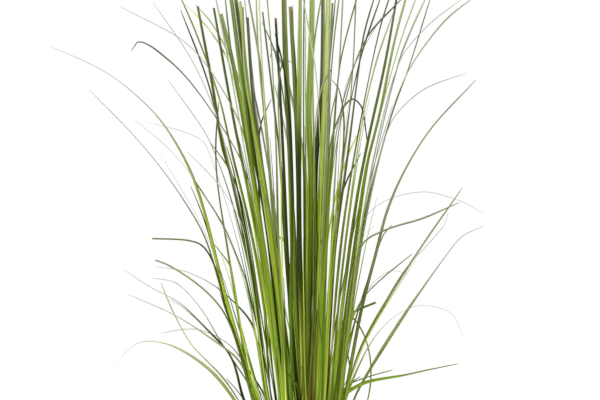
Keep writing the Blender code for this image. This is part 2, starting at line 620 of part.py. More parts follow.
def main():
    for old in list(bpy.data.objects):
        bpy.data.objects.remove(old, do_unlink=True)
    plant = bpy.data.collections.new("potted_grass_clump")
    cutters = bpy.data.collections.new("cutters")
    bpy.context.scene.collection.children.link(plant)
    bpy.context.scene.collection.children.link(cutters)
    clay = material("clay", (0.60, 0.29, 0.17), 0.85)
    earth = material("soil", (0.07, 0.05, 0.035), 0.95)
    green = material("leaf", (0.28, 0.35, 0.12), 0.5)

    make_pot(plant, cutters, clay)
    feet = []
    for name, (bm, foot, across, along) in place_shoots(shoots_wanted()).items():
        mesh = bpy.data.meshes.new(name)
        bm.to_mesh(mesh)
        bm.free()
        new_object(name, mesh, plant, green)
        feet.append((foot, across, along))
    make_soil(plant, cutters, earth, feet)


if __name__ == "__main__":
    main()
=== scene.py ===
"""The looks of a potted clump of narrow-leaved ornamental grass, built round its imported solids.

Every leaf follows the rings of its own solid, so it lies where the solid does. Lengths are in metres.
"""
import math
import random

import bmesh
import bpy
from mathutils import Matrix, Vector, noise


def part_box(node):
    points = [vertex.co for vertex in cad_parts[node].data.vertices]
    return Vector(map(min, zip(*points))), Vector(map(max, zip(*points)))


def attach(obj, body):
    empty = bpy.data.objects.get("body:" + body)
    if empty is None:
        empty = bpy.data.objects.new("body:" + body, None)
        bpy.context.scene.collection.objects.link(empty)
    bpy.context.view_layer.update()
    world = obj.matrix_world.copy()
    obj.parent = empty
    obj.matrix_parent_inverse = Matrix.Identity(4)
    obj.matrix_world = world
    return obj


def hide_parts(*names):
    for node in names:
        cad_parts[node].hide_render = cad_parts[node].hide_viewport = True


bl_info = {
    "name": "Potted Grass Clump",
    "version": (1, 0, 0),
    "blender": (4, 5, 0),
    "location": "3D View > Sidebar > Grass",
    "description": "Grows a clump of ornamental grass in a clay pot, in a plain studio",
    "category": "Object",
}

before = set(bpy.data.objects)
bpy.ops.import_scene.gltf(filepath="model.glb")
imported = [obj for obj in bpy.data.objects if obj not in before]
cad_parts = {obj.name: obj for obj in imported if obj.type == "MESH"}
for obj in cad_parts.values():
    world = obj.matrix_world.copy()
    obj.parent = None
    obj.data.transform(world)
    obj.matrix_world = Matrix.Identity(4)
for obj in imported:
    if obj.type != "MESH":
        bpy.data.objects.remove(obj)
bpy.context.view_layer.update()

SHOOT_NODES = sorted(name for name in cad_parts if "_shoot_" in name)
MM = 0.001

# The pot's profile, which is that of its solid.
POT_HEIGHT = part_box("pot")[1].z
RIM_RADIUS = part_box("pot")[1].x
RIM_DEPTH = 34 * MM
RIM_TAPER = 1.5 * MM
NECK_RADIUS = 103 * MM
BASE_RADIUS = 78 * MM
WALL = 8 * MM
FLOOR = 12 * MM
DRAIN_HOLES = 4
DRAIN_RADIUS = 6 * MM
DRAIN_CIRCLE = 38 * MM

SOIL_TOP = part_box("soil")[1].z
SOIL_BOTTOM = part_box("soil")[0].z
SOIL_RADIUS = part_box("soil")[1].x
SOIL_EDGE_DROP = 8 * MM

# The camera is level and looks along Y. The frame's width is measured at the clump.
EYE_DISTANCE = 5.0
EYE_ACROSS = -9 * MM
EYE_HEIGHT = 0.585
FRAME_WIDTH = 0.9


class Socket:
    """A socket of a node tree that Python's operators work on."""

    def __init__(self, graph, end):
        self.graph = graph
        self.end = end

    def __add__(self, other):
        return self.graph.maths("ADD", self, other)

    def __radd__(self, other):
        return self.graph.maths("ADD", other, self)

    def __sub__(self, other):
        return self.graph.maths("SUBTRACT", self, other)

    def __rsub__(self, other):
        return self.graph.maths("SUBTRACT", other, self)

    def __mul__(self, other):
        return self.graph.maths("MULTIPLY", self, other)

    def __rmul__(self, other):
        return self.graph.maths("MULTIPLY", other, self)

    def __truediv__(self, other):
        return self.graph.maths("DIVIDE", self, other)

    def __pow__(self, other):
        return self.graph.maths("POWER", self, other)

    def __abs__(self):
        return self.graph.maths("ABSOLUTE", self)


class Graph:
    """Builds a node tree, for a material or for geometry, from Python expressions."""

    def __init__(self, tree):
        self.tree = tree
        tree.nodes.clear()

    def feed(self, socket, value):
        if isinstance(value, Socket):
            self.tree.links.new(value.end, socket)
        else:
            socket.default_value = value

    def node(self, kind, settings=None, inputs=None):
        made = self.tree.nodes.new(kind)
        for key, value in (settings or {}).items():
            if key == "stops":
                self.set_stops(made.color_ramp, value)
            else:
                setattr(made, key, value)
        for key, value in (inputs or {}).items():
            self.feed(made.inputs[key], value)
        return made

    def get(self, kind, settings=None, inputs=None, output=0):
        return Socket(self, self.node(kind, settings, inputs).outputs[output])

    def set_stops(self, ramp, stops):
        while len(ramp.elements) < len(stops):
            ramp.elements.new(1.0)
        for element, (place, color) in zip(ramp.elements, stops):
            element.position = place
            element.color = (*color, 1.0)

    def is_vector(self, value):
        if isinstance(value, Socket):
            return value.end.type in ("VECTOR", "RGBA")
        return isinstance(value, (tuple, Vector))

    def maths(self, operation, *values):
        vectors = [self.is_vector(value) for value in values]
        if not any(vectors):
            return self.get("ShaderNodeMath", {"operation": operation}, dict(enumerate(values)))
        if all(vectors):
            return self.get("ShaderNodeVectorMath", {"operation": operation}, dict(enumerate(values)))
        vector, scale = values if vectors[0] else reversed(values)
        return self.get("ShaderNodeVectorMath", {"operation": "SCALE"}, {"Vector": vector, "Scale": scale})

    def vector_maths(self, operation, *values, output=0):
        return self.get("ShaderNodeVectorMath", {"operation": operation}, dict(enumerate(values)), output)

    def clamped(self, value):
        return self.get("ShaderNodeClamp", inputs={"Value": value})

    def smooth(self, value, low, high):
        """0 below low, 1 above high, and a soft step between them."""
        return self.get("ShaderNodeMapRange", {"interpolation_type": "SMOOTHSTEP"},
                        {"Value": value, "From Min": low, "From Max": high})

    def mix(self, share, first, second):
        return self.get("ShaderNodeMix", {"data_type": "FLOAT"}, {0: share, 2: first, 3: second})

    def blend(self, share, first, second, kind="MIX"):
        """Mixes two colours."""
        first, second = (value if isinstance(value, Socket) else (*value, 1.0) for value in (first, second))
        return self.get("ShaderNodeMix", {"data_type": "RGBA", "blend_type": kind},
                        {0: share, 6: first, 7: second}, output=2)


class Finish(Graph):
    """A material's nodes, which end in one Principled BSDF."""

    def __init__(self, name):
        self.material = bpy.data.materials.new(name)
        self.material.use_nodes = True
        super().__init__(self.material.node_tree)

    def attribute(self, name, output="Fac"):
        return self.get("ShaderNodeAttribute", {"attribute_name": name}, output=output)

    def place(self):
        return self.get("ShaderNodeTexCoord", output="Object")

    def stretched(self, vector, scale):
        return self.get("ShaderNodeMapping", inputs={"Vector": vector, "Scale": scale})

    def cloud(self, vector, scale, detail=3.0, rough=0.5):
        return self.get("ShaderNodeTexNoise", inputs={"Vector": vector, "Scale": scale, "Detail": detail,
                                                      "Roughness": rough}, output="Fac")

    def bump(self, height, depth, under=None):
        inputs = {"Height": height, "Distance": depth, "Strength": 1.0}
        if under:
            inputs["Normal"] = under
        return self.get("ShaderNodeBump", inputs=inputs)

    def close(self, color, roughness, normal=None, **values):
        """Ends the nodes in the shader, and returns the material."""
        inputs = {"Base Color": color, "Roughness": roughness}
        if normal:
            inputs["Normal"] = normal
        inputs.update({key.replace("_", " "): value for key, value in values.items()})
        self.node("ShaderNodeOutputMaterial", inputs={
            "Surface": self.get("ShaderNodeBsdfPrincipled", inputs=inputs)})
        return self.material


def toned(color, factor):
    """A colour made lighter or darker."""
    return tuple(min(1.0, part * factor) for part in color)


def color_property(name, description, default):
    return bpy.props.FloatVectorProperty(name=name, description=description, default=default, size=3,
                                         min=0.0, max=1.0, subtype="COLOR")


def number_property(name, description, default, **kind):
    return bpy.props.FloatProperty(name=name, description=description, default=default, **kind)


def length_property(name, description, default):
    return number_property(name, description, default, unit="LENGTH")


class GrassSettings(bpy.types.PropertyGroup):
    thickness: length_property("Blade thickness", "How thick a leaf blade is at its keel", 0.45 * MM)
    wrap: number_property("Sheath wrap", "How far a sheath goes round its shoot, to each side of its keel",
                          math.radians(150), subtype="ANGLE")
    opening: length_property("Sheath opening", "The length in which a sheath opens into a blade", 0.045)
    ripple: length_property("Edge ripple", "How far a blade's edges wave", 0.35 * MM)
    twist: number_property("Twist", "How far the thin outer leaves turn over on their way out",
                           math.radians(120), subtype="ANGLE")
    hair: length_property("Hair width", "The width of a leaf's hair-thin end", 1.2 * MM)
    seed: bpy.props.IntProperty(name="Seed", description="Draws the inner leaves and small differences",
                                default=7)
    # The near-black tone below is painted shade, for leaves that lie in the clump's shadow.
    ink: color_property("Ink", "Leaves deep in the clump, nearly black", (0.016, 0.026, 0.003))
    deep: color_property("Deep", "Dark green leaves", (0.070, 0.115, 0.006))
    green: color_property("Green", "Plain green leaves", (0.164, 0.240, 0.013))
    fresh: color_property("Fresh", "Bright olive-green leaves", (0.282, 0.366, 0.036))
    lime: color_property("Lime", "Young yellow-green leaves", (0.455, 0.525, 0.085))
    sage: color_property("Sage", "Pale greyish leaves", (0.320, 0.410, 0.140))
    ash: color_property("Ash", "Thin grey-green leaves", (0.262, 0.284, 0.170))
    dusk: color_property("Dusk", "Thin dark leaves", (0.098, 0.120, 0.046))
    mist: color_property("Mist", "The hair-thin ends of the outermost leaves", (0.320, 0.320, 0.305))
    lilac: color_property("Lilac", "A few pale leaves that are turning", (0.330, 0.310, 0.300))
    bronze: color_property("Bronze", "Purplish-brown sheaths", (0.125, 0.088, 0.014))
    straw: color_property("Straw", "Dry tips and flecks", (0.400, 0.310, 0.160))
    husk: color_property("Husk", "Old sheaths at the foot", (0.190, 0.115, 0.058))


class PotSettings(bpy.types.PropertyGroup):
    clay: color_property("Clay", "The fired clay", (0.560, 0.235, 0.115))
    bloom: color_property("Bloom", "The lime that wet clay sweats out", (0.720, 0.560, 0.450))
    rounding: length_property("Edge rounding", "The radius of the pot's edges", 2.4 * MM)


class SoilSettings(bpy.types.PropertyGroup):
    peat: color_property("Peat", "The fine dark soil", (0.028, 0.018, 0.011))
    bark: color_property("Bark", "The crumbs of bark", (0.130, 0.066, 0.033))
    grit: color_property("Grit", "The few pale grains", (0.620, 0.590, 0.530))
    roughness: length_property("Surface relief", "How far the soil's surface rises and falls", 2.2 * MM)
    density: number_property("Crumbs", "Crumbs to a square metre of soil", 90000.0)
    crumb: length_property("Crumb size", "The radius of a large crumb", 2.3 * MM)
    chips: number_property("Chips", "Bark chips to a square metre of soil", 9000.0)
    chip: length_property("Chip size", "The radius of a large chip of bark", 6 * MM)


class StudioSettings(bpy.types.PropertyGroup):
    key: number_property("Key light", "The key light's power", 200.0, unit="POWER")
    sky: number_property("Ambient", "The light that comes from all round", 0.52)
    floor: color_property("Floor", "The floor under the pot", (0.80, 0.80, 0.79))
    floor_radius: length_property("Floor radius", "The radius of the floor", 9.0)


def placed(name, data):
    """A new object at the scene's origin."""
    made = bpy.data.objects.new(name, data)
    bpy.context.scene.collection.objects.link(made)
    return made


def mesh_of(bm, name):
    mesh = bpy.data.meshes.new(name)
    bm.to_mesh(mesh)
    bm.free()
    return mesh


def plain_mesh(piece):
    """What a piece's modifiers make of it, as a mesh of its own. The modifiers go."""
    graph = bpy.context.evaluated_depsgraph_get()
    made = bpy.data.meshes.new_from_object(piece.evaluated_get(graph), depsgraph=graph)
    piece.modifiers.clear()
    return made


def add_piece(name, mesh, finish, slot, *nodes):
    """Puts a finished mesh in the scene, riding on the one body and standing for its solids."""
    if finish:
        mesh.materials.append(finish)
    made = placed(name, mesh)
    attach(made, "root")
    if nodes:
        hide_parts(*nodes)


class Growth(Graph):
    """A geometry tree with named inputs. Those with no value here get theirs when the tree runs."""

    def __init__(self, name, inputs):
        super().__init__(bpy.data.node_groups.new(name, "GeometryNodeTree"))
        sockets = self.tree.interface
        sockets.new_socket("Geometry", in_out="INPUT", socket_type="NodeSocketGeometry")
        sockets.new_socket("Geometry", in_out="OUTPUT", socket_type="NodeSocketGeometry")
        self.identifiers = {}
        for key, kind, value in inputs:
            socket = sockets.new_socket(key, in_out="INPUT", socket_type="NodeSocket" + kind)
            if value is not None:
                socket.default_value = value
            self.identifiers[key] = socket.identifier
        self.given = self.node("NodeGroupInput")

    def use(self, name):
        return Socket(self, self.given.outputs[name])

    def end(self, geometry, material):
        """Ends the tree in plain geometry with its material."""
        real = self.get("GeometryNodeRealizeInstances", inputs={"Geometry": geometry})
        real = self.get("GeometryNodeSetMaterial", inputs={"Geometry": real, "Material": self.use(material)})
        self.node("NodeGroupOutput", inputs={"Geometry": real})

    def run(self, mesh, values):
        """Runs the tree on a mesh and returns what it makes as a plain mesh."""
        guide = placed("guide", mesh)
        modifier = guide.modifiers.new("nodes", "NODES")
        modifier.node_group = self.tree
        for name, value in values.items():
            modifier[self.identifiers[name]] = value
        made = plain_mesh(guide)
        bpy.data.objects.remove(guide)
        return made


# Reading a shoot's solid: two leaves of three-cornered rings that part from a sheath of four corners.


def welded(node):
    """The corners of a solid, joined by place, and each corner's neighbours."""
    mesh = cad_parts[node].data
    number_at = {}
    corners = []
    numbers = []
    for vert in mesh.vertices:
        key = tuple(round(part / (0.01 * MM)) for part in vert.co)
        if key not in number_at:
            number_at[key] = len(corners)
            corners.append(vert.co.copy())
        numbers.append(number_at[key])
    faces = [tuple(numbers[i] for i in face.vertices) for face in mesh.polygons]
    near = [set() for _ in corners]
    for face in faces:
        for corner in face:
            near[corner].update(set(face) - {corner})
    return corners, faces, near


def around(ring, near):
    return set().union(*(near[corner] for corner in ring)) - set(ring)


def rings_down(tip, near):
    """The rings of three corners from a leaf's tip down to the fork, where the ring is shared."""
    rings = [set(tip)]
    seen = set(tip)
    while True:
        following = around(rings[-1], near) - seen
        if len(following) != 3:
            return rings
        rings.append(following)
        seen |= following


def keel_of(ring, corners):
    """The corner that faces the ring's longest side."""
    def facing(keel):
        one, two = ring - {keel}
        return (corners[one] - corners[two]).length

    return max(ring, key=facing)


def like(offset, choices):
    """The choice that points most the way that the offset does."""
    return max(choices, key=lambda choice: choice.dot(offset))


class Station:
    """One place along a leaf: its left edge, its keel and its right edge."""

    def __init__(self, left, keel, right):
        self.left = left
        self.keel = keel
        self.right = right

    def corners(self):
        return self.left, self.keel, self.right

    def middle(self):
        return (self.left + self.right) / 2

    def width(self):
        return (self.right - self.left).length

    def moved(self, offset):
        return Station(*(corner + offset for corner in self.corners()))

    def scaled(self, centre, factor):
        return Station(*(centre + (corner - centre) * factor for corner in self.corners()))


def read_shoot(node):
    """Each leaf's stations from foot to tip, and the number of its station at the fork."""
    corners, faces, near = welded(node)
    tips = [face for face in faces if len(around(face, near)) == 3]
    if len(tips) != 2:
        raise RuntimeError(node + " does not part into two leaves")
    chains = [rings_down(tip, near) for tip in tips]
    fork = chains[0][-1] | chains[1][-1]
    base = around(fork, near) - chains[0][-2] - chains[1][-2]
    foot = around(base, near) - fork
    leaves = []
    for own, other in (chains, reversed(chains)):
        keel = (own[-1] - other[-1]).pop()
        first, second = own[-1] & other[-1]
        fork_centre = sum((corners[i] for i in fork), Vector()) / len(fork)
        spokes = [corners[i] - fork_centre for i in (first, keel, second)]
        stations = []
        for ring in (foot, base):
            centre = sum((corners[i] for i in ring), Vector()) / len(ring)
            offsets = [corners[i] - centre for i in ring]
            stations.append(Station(*(centre + like(spoke, offsets) for spoke in spokes)))
        stations.append(Station(corners[first], corners[keel], corners[second]))
        for ring in reversed(own[:-1]):
            keel = keel_of(ring, corners)
            one, two = (corners[i] for i in ring - {keel})
            before = stations[-1].right - stations[-1].left
            if (two - one).dot(before) < 0:
                one, two = two, one
            stations.append(Station(one, corners[keel], two))
        leaves.append(stations)
    return leaves


# The tones of the leaves: for each side its shoots in the order of their numbers, and for each shoot its two
# leaves, the one with its tip further left first. Where a leaf changes on its way up, its tones are in order
# from the foot. One that ends in haze has a hair-thin end, and one that ends in mist is hair-thin from
# halfway up.
# The near-black tone among them is painted shade, for leaves that lie in the clump's shadow.
LEAF_TONES = {
    "left": (
        ("deep ash haze", "green ash"),
        ("deep dusk haze", "deep ash haze"),
        ("fresh green haze", "green ash haze"),
        ("deep dusk", "green dusk ash"),
        ("deep ash haze", "deep dusk haze"),
        ("deep haze", "deep dusk"),
        ("fresh green", "green dusk"),
        ("green ash mist", "green dusk"),
        ("green dusk", "green ash haze"),
        ("green haze", "green ash haze"),
        ("fresh green", "green dusk"),
        ("fresh green", "green deep"),
        ("green ash mist", "green ash haze"),
        ("deep mist", "fresh green"),
    ),
    "core": (
        ("fresh green", "green"),
        ("deep green", "fresh sage"),
        ("green", "fresh dusk"),
        ("green lilac", "green deep"),
        ("green ash", "lime sage"),
        ("deep dusk", "fresh sage"),
        ("deep ash", "ink"),
        ("deep ink green", "green ink ink deep"),
        ("bronze ink ink deep", "green ink ink green"),
        ("bronze deep", "deep green"),
        ("bronze green ash", "bronze fresh"),
        ("deep ink dusk", "green fresh"),
        ("green ash", "green"),
        ("green ash", "fresh green"),
        ("fresh dusk", "green dusk"),
        ("fresh dusk", "bronze dusk"),
        ("green ash haze", "lime deep"),
        ("green sage", "fresh deep"),
        ("green", "fresh sage"),
        ("green ash", "green dusk"),
        ("lime sage", "lime dusk"),
        ("green ash", "green deep"),
    ),
    "right": (
        ("green ash haze", "green ash"),
        ("fresh ash haze", "green dusk ash"),
        ("green ash", "green ash haze"),
        ("green ash", "green mist"),
        ("green ash mist", "green ash"),
        ("fresh green", "green mist"),
        ("fresh green", "green"),
        ("deep", "green ash haze"),
        ("fresh green", "green ash haze"),
    ),
    "front": (
        ("fresh ash", "deep ink"),
        ("fresh dusk", "green dusk"),
        ("green", "green sage"),
        ("deep", "deep"),
        ("deep ash", "green"),
        ("bronze deep", "bronze deep"),
    ),
    "back": (
        ("lime ash", "ink ash"),
        ("deep ash", "deep dusk"),
        ("green ash", "lilac green"),
        ("fresh dusk", "lime"),
        ("green sage", "fresh sage"),
        ("green", "green"),
        ("green ash", "deep"),
    ),
}
# The leaves that are broader to look at than their solids, each shoot's two in the same order.
BROAD_LEAVES = {
    "core_shoot_08": (1.0, 1.35),
    "core_shoot_09": (1.1, 1.30),
    "core_shoot_20": (1.0, 1.3),
    "back_shoot_01": (1.5, 1.0),
}
# Young inner leaves may take the near-black painted shade, as they sit in the shoot's shadow.
INNER_TONES = ("deep", "green", "ink", "deep", "fresh", "green", "lime")
HUSK_TONES = ("husk", "straw", "bronze")

# The stretch of a leaf in which its tone changes, how much lower that is in a leaf that reaches out of the
# clump, and how far a leaf's tone strays from the named one.
TONE_CHANGE = (0.26, 0.84)
EARLY_CHANGE = 0.12
TONE_SPREAD = 0.13

# How a leaf's few stations become many: the one at the fork, and the steps between them.
FORK_STATION = 2
KNOT_POWER = 0.75
LEAST_STEPS = 5
STEP = 9 * MM


def curve_through(values, knots, i, t):
    """Cubic curve through uneven knots, between value i and the next."""
    last = len(values) - 1
    start, end = values[i], values[i + 1]
    span = knots[i + 1] - knots[i]
    before, knot_before = (values[i - 1], knots[i - 1]) if i > 0 else (start * 2 - end, knots[i] - span)
    if i + 2 <= last:
        after, knot_after = values[i + 2], knots[i + 2]
    else:
        after, knot_after = end * 2 - start, knots[i + 1] + span
    leave = (end - before) / (knots[i + 1] - knot_before) * span
    arrive = (after - start) / (knot_after - knots[i]) * span
    return (start * (2 * t ** 3 - 3 * t ** 2 + 1) + leave * (t ** 3 - 2 * t ** 2 + t)
            + end * (3 * t ** 2 - 2 * t ** 3) + arrive * (t ** 3 - t ** 2))


def finely(stations):
    """The stations of a leaf at close, smooth steps, with the number of the one at the fork."""
    knots = [0.0]
    for a, b in zip(stations, stations[1:]):
        knots.append(knots[-1] + (b.middle() - a.middle()).length ** KNOT_POWER)
    lines = list(zip(*(station.corners() for station in stations)))
    fine = []
    fork = 0
    for i in range(len(stations) - 1):
        if i == FORK_STATION:
            fork = len(fine)
        span = (stations[i + 1].middle() - stations[i].middle()).length
        steps = max(LEAST_STEPS, math.ceil(span / STEP))
        for step in range(steps):
            fine.append(Station(*(curve_through(line, knots, i, step / steps) for line in lines)))
    fine.append(stations[-1])
    return fine, fork


# A leaf whose tip is broader than this is blunt. Every other one comes to a point.
CUT_TIP_WIDTH = 2.2 * MM
POINT_LENGTH = 0.05
POINT_WIDTH = 0.30
POINT_POWER = 0.7

# Blades are broader than their solids between these heights, and less so if they reach out of the clump.
BLADE_SPREAD = 1.12
SPREAD_FROM = (0.38, 0.52)
SPREAD_TO = (0.78, 0.90)
OUT_REACH = (0.08, 0.23)
OUT_SPREAD = -0.12
TWIST_START = 0.35

# Where along its length a pointed leaf thins, for each kind of end.
THINNING = {"mist": (0.36, 0.70), "haze": (0.58, 0.92), "": (0.42, 0.82)}
FAINT_HAIR = 0.55
LEAST_WIDTH = 2.7 * MM

# The second leaf's sheath, and the young leaf between the two, against the first leaf.
SHEATH_SCALE = 0.82
INNER_SHARE = 0.62
INNER_LEAN = (0.10, 0.35)
INNER_REACH = (0.25, 0.86)
LEAST_INNER = 8
INNER_POINT_LENGTH = 0.11

# The husk, which curls away from the shoot near its top.
HUSK_SCALE = (1.18, 1.34)
HUSK_TOP = (0.030, 0.085)
HUSK_RUN_ON = 0.02
HUSK_CURL_START = 0.35
HUSK_CURL = 5 * MM
HUSK_WRAP = 0.75
HUSK_OPENING = 0.45


def smooth_step(value):
    value = max(0.0, min(1.0, value))
    return value * value * (3.0 - 2.0 * value)


def step_between(value, low, high):
    return smooth_step((value - low) / (high - low))


def travelled(stations):
    lengths = [0.0]
    for a, b in zip(stations, stations[1:]):
        lengths.append(lengths[-1] + (b.middle() - a.middle()).length)
    return lengths


class Strip:
    """A leaf for the sweep: its stations, and at each how far it is wrapped into a sheath and its tone."""

    def __init__(self, stations, wraps, tones, cut=0.0, old=0.0):
        self.stations = stations
        self.wraps = wraps
        self.tones = tones
        self.cut = cut
        self.old = old


def hair_of(words):
    """How a leaf with these tones ends: in mist, in haze, or in no hair."""
    last = words.split()[-1]
    return last if last in ("mist", "haze") else ""


def tones_along(look, words, count, rng, out=0.0):
    """A colour for each station: from the tone at the foot to the one higher up, a little varied.

    A leaf that reaches out of the clump changes lower down.
    """
    hair = hair_of(words)
    steps = [Vector(getattr(look, word)) for word in words.split() if word != hair]
    level = 1.0 + rng.uniform(-TONE_SPREAD, TONE_SPREAD)
    warmth = 1.0 + rng.uniform(-TONE_SPREAD, TONE_SPREAD) / 2
    start, end = (share - EARLY_CHANGE * out for share in TONE_CHANGE)
    tones = []
    for i in range(count):
        place = max(0.0, min(1.0, (i / count - start) / (end - start))) * (len(steps) - 1)
        low = min(int(place), len(steps) - 1)
        high = min(low + 1, len(steps) - 1)
        tone = steps[low].lerp(steps[high], smooth_step(place - low)) * level
        if hair:
            tone = tone.lerp(Vector(look.mist), step_between(i / count, *THINNING[hair]))
        tones.append((tone.x * warmth, tone.y, tone.z / warmth, 1.0))
    return tones


def turned(station, ahead, angle):
    """The station turned round the leaf's own line."""
    spin = Matrix.Rotation(angle, 3, ahead)
    middle = station.middle()
    return Station(*(middle + spin @ (corner - middle) for corner in station.corners()))


def tapering(rest, length):
    """How wide a leaf still is at this distance from its tip."""
    return POINT_WIDTH + (1.0 - POINT_WIDTH) * min(1.0, rest / length) ** POINT_POWER


def narrowed(stations, factors):
    return [station.scaled(station.middle().lerp(station.keel, 0.5), factor)
            for station, factor in zip(stations, factors)]


def wraps_along(lengths, fork, look):
    """How far a leaf is wrapped into a sheath: wholly up to the fork, and soon after it not at all."""
    return [1.0 - smooth_step((length - lengths[fork]) / look.opening) for length in lengths]


def broadened(stations, wraps, broad, out):
    """A leaf's widths against its solid's."""
    spread = BLADE_SPREAD * broad * (1.0 + OUT_SPREAD * out) - 1.0
    return [1.0 + spread * max(out, step_between(station.middle().z, *SPREAD_FROM))
            * (1.0 - wrap) * (1.0 - step_between(station.middle().z, *SPREAD_TO))
            for station, wrap in zip(stations, wraps)]


def pointed(stations, lengths, widths, hair, look):
    """The widths of a leaf that thins on its way out and comes to a point."""
    end_widths = {"haze": look.hair, "mist": look.hair * FAINT_HAIR}
    made = []
    for station, length, share in zip(stations, lengths, widths):
        width = station.width()
        end_width = end_widths.get(hair, max(LEAST_WIDTH, width * share))
        thinned = step_between(length / lengths[-1], *THINNING[hair])
        share += (end_width / width - share) * thinned
        made.append(share * tapering(lengths[-1] - length, POINT_LENGTH))
    return made


def twisted(stations, lengths, turn):
    """A leaf that turns over on its way out."""
    lead = lengths[-1] * TWIST_START
    aims = [b.middle() - a.middle() for a, b in zip(stations, stations[1:])]
    aims.append(aims[-1])
    return [turned(station, aim, turn * smooth_step((length - lead) / (lengths[-1] - lead)))
            for station, aim, length in zip(stations, aims, lengths)]


def main_strip(stations, fork, inner, words, broad, look, rng):
    """A full leaf, from its foot in the soil to its tip. The second of a pair is sheathed inside."""
    lengths = travelled(stations)
    wraps = wraps_along(lengths, fork, look)
    if inner:
        stations = [station.scaled(station.middle(), 1.0 - (1.0 - SHEATH_SCALE) * wrap)
                    for station, wrap in zip(stations, wraps)]
    cut = stations[-1].width() > CUT_TIP_WIDTH
    out = step_between(abs(stations[-1].middle().x - stations[0].middle().x), *OUT_REACH)
    widths = broadened(stations, wraps, broad, out)
    if cut:
        stations = narrowed(stations, widths)
    else:
        stations = narrowed(stations, pointed(stations, lengths, widths, hair_of(words), look))
        stations = twisted(stations, lengths, look.twist * out * rng.uniform(-1.0, 1.0))
    return Strip(stations, wraps, tones_along(look, words, len(stations), rng, out), cut=float(cut))


def inner_strip(own, other, fork, look, rng):
    """A young leaf that rises between the two leaves of a shoot, close to the first."""
    above = min(len(own), len(other)) - fork
    reach = fork + max(LEAST_INNER, int(above * rng.uniform(*INNER_REACH)))
    lean = rng.uniform(*INNER_LEAN)
    stations = []
    for i in range(reach):
        share = lean * smooth_step((i - fork) / (reach - fork))
        centre = own[i].middle()
        stations.append(own[i].scaled(centre, INNER_SHARE).moved((other[i].middle() - centre) * share))
    lengths = travelled(own)[:reach]
    stations = narrowed(stations, [tapering(lengths[-1] - length, INNER_POINT_LENGTH) for length in lengths])
    tones = tones_along(look, rng.choice(INNER_TONES), reach, rng)
    return Strip(stations, wraps_along(lengths, fork, look), tones)


def husk_strip(own, look, rng):
    """An old sheath, brown and short, outside the others at the foot."""
    top = rng.uniform(*HUSK_TOP)
    scale = rng.uniform(*HUSK_SCALE)
    stations = []
    wraps = []
    for station, length in zip(own, travelled(own)):
        if length > top + HUSK_RUN_ON:
            break
        curl = smooth_step((length - HUSK_CURL_START * top) / top)
        outward = (station.keel - station.middle()).normalized() * curl * curl * HUSK_CURL
        stations.append(station.scaled(station.middle(), scale * (1.0 - HUSK_OPENING * curl)).moved(outward))
        wraps.append(HUSK_WRAP - HUSK_OPENING * curl)
    return Strip(stations, wraps, tones_along(look, rng.choice(HUSK_TONES), len(stations), rng), old=1.0)


# What each point of a guide carries for the sweep and the finish.
LAYERS = {
    "to_left": ("FLOAT_VECTOR", "vector"),
    "to_right": ("FLOAT_VECTOR", "vector"),
    "tone": ("FLOAT_COLOR", "color"),
    "wrap": ("FLOAT", "value"),
    "along": ("FLOAT", "value"),
    "run": ("FLOAT", "value"),
    "cut": ("FLOAT", "value"),
    "old": ("FLOAT", "value"),
    "mark": ("FLOAT", "value"),
}


def guide_mesh(strips, rng):
    """The strips as lines of edges, whose points carry what the sweep and the finish need."""
    mesh = bpy.data.meshes.new("blade_guides")
    places, edges = [], []
    columns = {name: [] for name in LAYERS}
    for strip in strips:
        start = len(places)
        lengths = travelled(strip.stations)
        mark = rng.random()
        for i, station in enumerate(strip.stations):
            places.append(station.keel)
            columns["to_left"].extend(station.left - station.keel)
            columns["to_right"].extend(station.right - station.keel)
            columns["tone"].extend(strip.tones[i])
            columns["wrap"].append(strip.wraps[i])
            columns["along"].append(lengths[i] / lengths[-1])
            columns["run"].append(lengths[i])
            columns["cut"].append(strip.cut)
            columns["old"].append(strip.old)
            columns["mark"].append(mark)
        edges += [(i, i + 1) for i in range(start, len(places) - 1)]
    mesh.from_pydata(places, edges, [])
    for name, (kind, field) in LAYERS.items():
        mesh.attributes.new(name, kind, "POINT").data.foreach_set(field, columns[name])
    return mesh


RING_POINTS = 12


